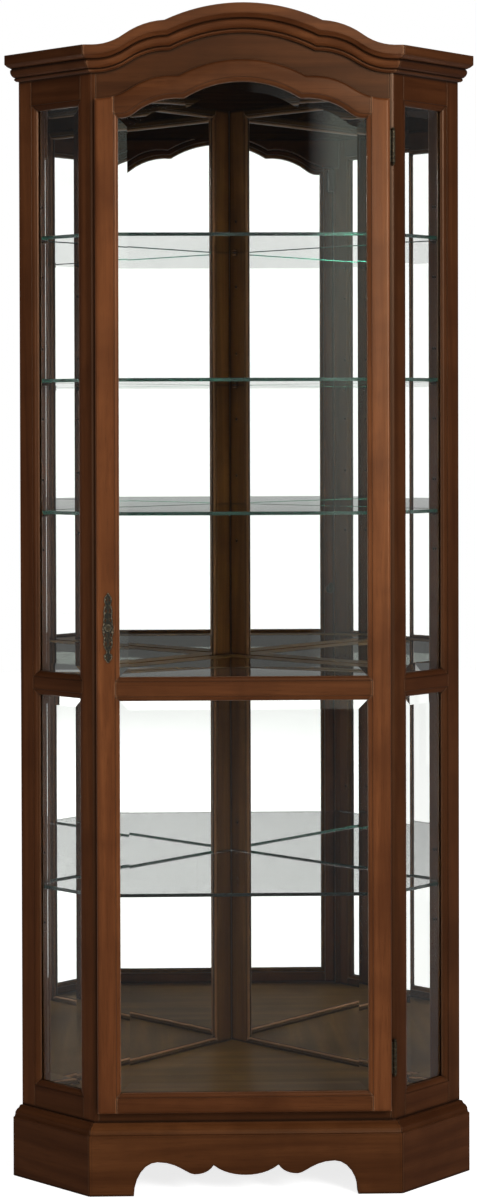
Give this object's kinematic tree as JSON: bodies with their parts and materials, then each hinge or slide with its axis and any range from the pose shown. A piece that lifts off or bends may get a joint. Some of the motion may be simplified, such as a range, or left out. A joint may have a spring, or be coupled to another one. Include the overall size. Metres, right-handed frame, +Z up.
{
  "type": "corner curio cabinet",
  "caption": "Corner curio cabinet with an arched glazed door, angled glass sides, mirrored backs, glass shelves and a scalloped apron.",
  "frame": {"origin": "middle of the bounding box at the floor", "axes": "+Z up, -Y out of the glazed door, +X to the right seen from the front"},
  "size_m": [0.8108, 0.5406, 2.0067],
  "materials": {
    "cherry": "dark cherry stain under satin lacquer",
    "clear_glass": "clear float glass, bevelled where framed",
    "mirror": "silvered glass",
    "backing": "brown hardboard",
    "old_brass": "antiqued, dark in the hollows",
    "catch_body": "moulded, brown",
    "steel": "plain plated steel"
  },
  "bodies": {
    "case": {"deck_panel": "cherry", "top_panel": "cherry", "middle_shelf_frame": "cherry", "front_left_post": "cherry", "front_right_post": "cherry", "rear_left_post": "cherry", "rear_right_post": "cherry", "back_left_stile": "cherry", "back_right_stile": "cherry", "left_side_top_rail": "cherry", "left_side_middle_rail": "cherry", "left_side_bottom_rail": "cherry", "right_side_top_rail": "cherry", "right_side_middle_rail": "cherry", "right_side_bottom_rail": "cherry", "back_left_top_rail": "cherry", "back_left_bottom_rail": "cherry", "back_right_top_rail": "cherry", "back_right_bottom_rail": "cherry", "frieze_board": "cherry", "front_bottom_rail": "cherry", "crown_front": "cherry", "crown_left": "cherry", "crown_right": "cherry", "base_front": "cherry", "base_left": "cherry", "base_right": "cherry", "base_back_left": "cherry", "base_back_right": "cherry", "middle_shelf_glass": "clear_glass", "left_lower_side_glass": "clear_glass", "left_upper_side_glass": "clear_glass", "right_lower_side_glass": "clear_glass", "right_upper_side_glass": "clear_glass", "glass_shelf_lower": "clear_glass", "glass_shelf_first": "clear_glass", "glass_shelf_second": "clear_glass", "glass_shelf_third": "clear_glass", "back_left_mirror": "mirror", "back_right_mirror": "mirror", "back_left_board": "backing", "back_right_board": "backing", "upper_hinge_case_leaf": "old_brass", "upper_hinge_pin": "old_brass", "lower_hinge_case_leaf": "old_brass", "lower_hinge_pin": "old_brass", "door_catch": "catch_body"},
    "door": {"door_left_stile": "cherry", "door_right_stile": "cherry", "door_top_rail": "cherry", "door_middle_rail": "cherry", "door_bottom_rail": "cherry", "door_upper_glass": "clear_glass", "door_lower_glass": "clear_glass", "lock_escutcheon": "old_brass", "lock_body": "old_brass", "upper_hinge_door_leaf": "old_brass", "lower_hinge_door_leaf": "old_brass", "catch_strike": "steel"},
    "lock": {"lock_plug": "old_brass"}
  },
  "joints": [
    {"name": "door_hinge", "type": "hinge", "parent": "case", "child": "door", "pos_m": [0.254, -0.24017, 0.9975], "axis": [0, 0, 1], "range_deg": [0, 160]},
    {"name": "lock_turn", "type": "hinge", "parent": "door", "child": "lock", "pos_m": [-0.23, -0.23637, 0.959], "axis": [0, -1, 0], "range_deg": [0, 90]}
  ]
}
